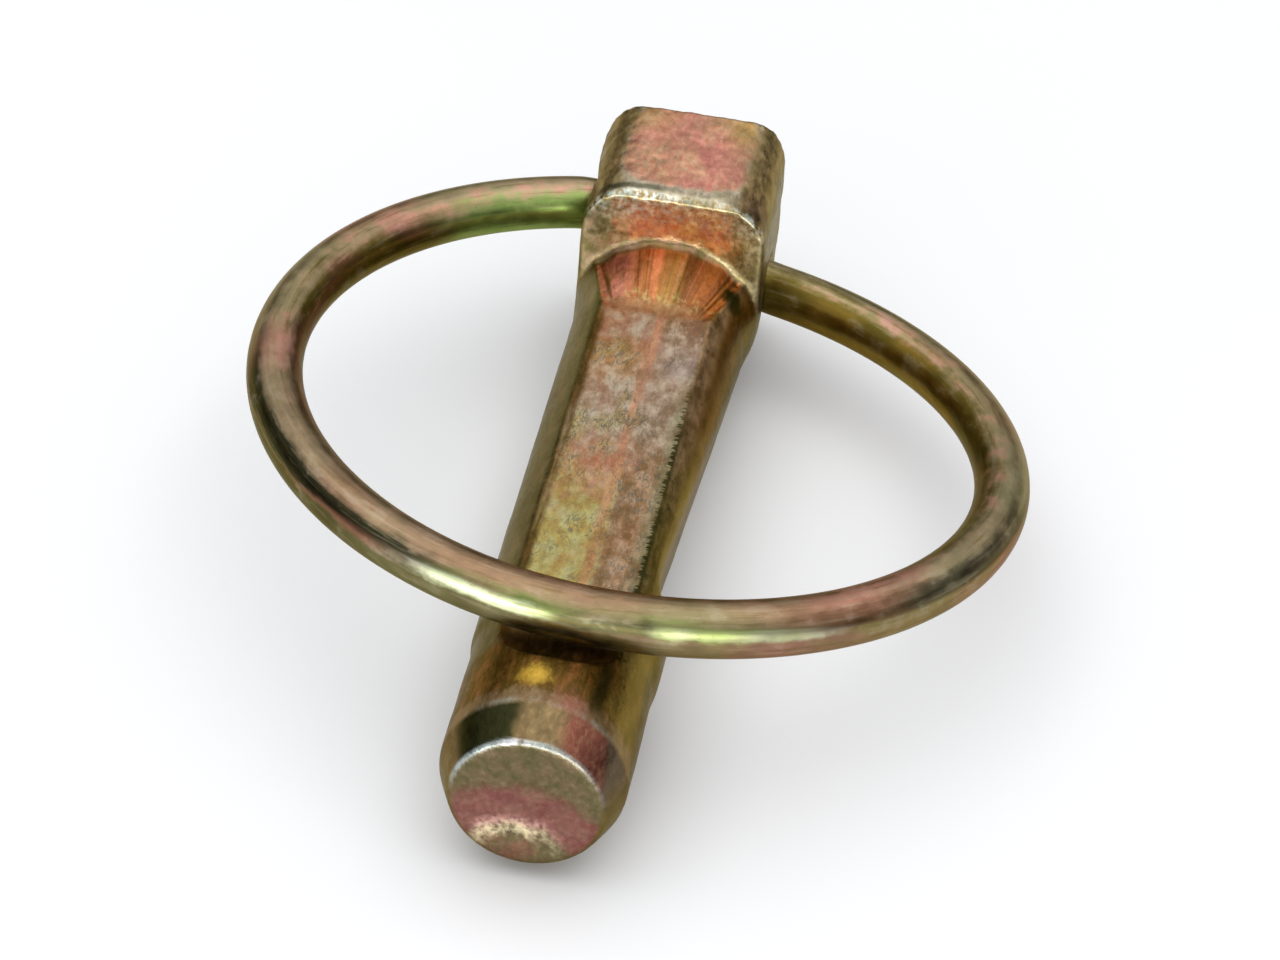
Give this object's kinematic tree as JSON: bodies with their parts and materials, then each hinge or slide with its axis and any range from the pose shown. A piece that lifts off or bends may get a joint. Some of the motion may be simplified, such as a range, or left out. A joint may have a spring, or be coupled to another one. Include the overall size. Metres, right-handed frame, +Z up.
{
  "type": "lynch pin",
  "caption": "Forged lynch pin with a long shallow recess and a spring wire ring that swings over the head and closes across the shank.",
  "frame": {"origin": "on the shank's axis, at the end of the neck where the full round of the shank begins", "axes": "+X along the shank to the tip, +Z up out of the recess toward the closed ring, +Y toward the side where the ring's end sits low in the head"},
  "size_m": [0.0582, 0.0473, 0.0151],
  "materials": {
    "body_zinc": "forged steel, yellow zinc plated",
    "ring_zinc": "drawn spring wire, yellow zinc plated"
  },
  "bodies": {
    "pin": {"pin_body": "body_zinc"},
    "ring": {"snap_ring": "ring_zinc"}
  },
  "joints": [
    {"name": "ring_swing", "type": "hinge", "parent": "pin", "child": "ring", "pos_m": [-0.0074, 0, 0.0027], "axis": [0.0115, -0.9308, 0.3653], "range_deg": [0, 180]}
  ]
}
